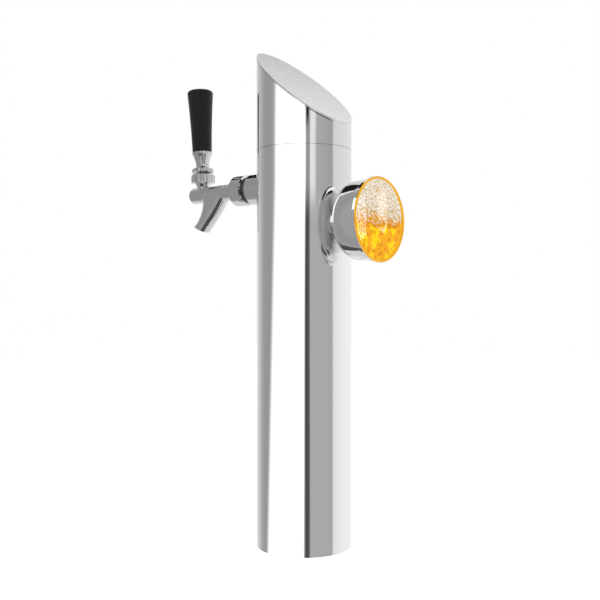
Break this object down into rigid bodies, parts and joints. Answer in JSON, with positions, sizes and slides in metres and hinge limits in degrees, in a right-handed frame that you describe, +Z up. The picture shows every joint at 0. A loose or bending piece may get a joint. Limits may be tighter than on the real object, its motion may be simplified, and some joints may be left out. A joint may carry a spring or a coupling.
{
  "type": "beer tower dispenser",
  "caption": "Free-standing round column with a slant-cut lift-off cap, a lever faucet on one side and a round lit badge on the other.",
  "frame": {"origin": "on the column's axis, at its foot, where it stands on the bar top", "axes": "+Z up along the column, +Y towards the faucet, -Y towards the badge, X level across both"},
  "size_m": [0.1016, 0.277, 0.5339],
  "materials": {
    "polished_steel": "mirror-polished stainless steel",
    "satin_steel": "satin stainless steel",
    "plain_steel": "plain turned stainless steel",
    "chromed_brass": "polished chrome on brass",
    "brass": "bare turned brass",
    "black_rubber": "matte black rubber",
    "dark_plastic": "moulded dark plastic",
    "black_plastic": "semi-gloss black plastic",
    "white_plastic": "white moulded plastic",
    "pale_foam": "rigid pale insulating foam",
    "printed_film": "printed foam-over-amber picture on acrylic",
    "amber_plastic": "amber translucent plastic",
    "clear_plastic": "clear polished acrylic",
    "green_board": "circuit board",
    "white_lamp": "surface-mounted lamps"
  },
  "bodies": {
    "tower": {"column_tube": "polished_steel", "base_ring": "plain_steel", "base_seal": "black_rubber", "foam_core": "pale_foam", "beer_line": "plain_steel", "shank": "chromed_brass", "shank_flange": "chromed_brass", "flange_gasket": "black_rubber", "shank_washer": "dark_plastic", "shank_nut": "brass", "tail_gasket": "black_rubber", "tailpiece": "plain_steel", "tail_nut": "brass", "coupling_nut": "chromed_brass", "faucet_gasket": "black_rubber", "faucet_body": "chromed_brass", "ball_washer": "white_plastic", "bonnet": "chromed_brass", "badge_neck": "chromed_brass", "badge_spacer": "chromed_brass", "badge_washer": "dark_plastic", "badge_nut": "brass", "badge_drum": "polished_steel", "badge_bezel": "polished_steel", "badge_print": "printed_film", "light_ring": "amber_plastic", "badge_lens": "clear_plastic", "light_spacer": "white_plastic", "led_board": "green_board", "board_standoffs": "brass", "board_screws": "plain_steel", "lamps": "white_lamp"},
    "lever": {"lever": "plain_steel", "lever_collar": "chromed_brass", "handle_ferrule": "chromed_brass", "handle": "black_plastic", "handle_insert": "brass"},
    "shaft": {"faucet_shaft": "plain_steel", "seat_washer": "black_rubber", "shaft_nut": "brass"},
    "cap": {"cap_sleeve": "polished_steel", "cap_plate": "satin_steel", "cap_spigot": "dark_plastic", "cap_o_ring": "black_rubber"}
  },
  "joints": [
    {"name": "lever_tilt", "type": "hinge", "parent": "tower", "child": "lever", "pos_m": [0, 0.1563, 0.4014], "axis": [-1, 0, 0], "range_deg": [0, 33]},
    {"name": "shaft_slide", "type": "slide", "parent": "tower", "child": "shaft", "axis": [0, -1, 0], "range_m": [0, 0.00845]},
    {"name": "cap_lift", "type": "slide", "parent": "tower", "child": "cap", "axis": [0, 0, 1], "range_m": [0, 0.04]}
  ],
  "couplings": [
    {"joint": "shaft_slide", "follows": "lever_tilt", "m_per_rad": 0.01433}
  ]
}
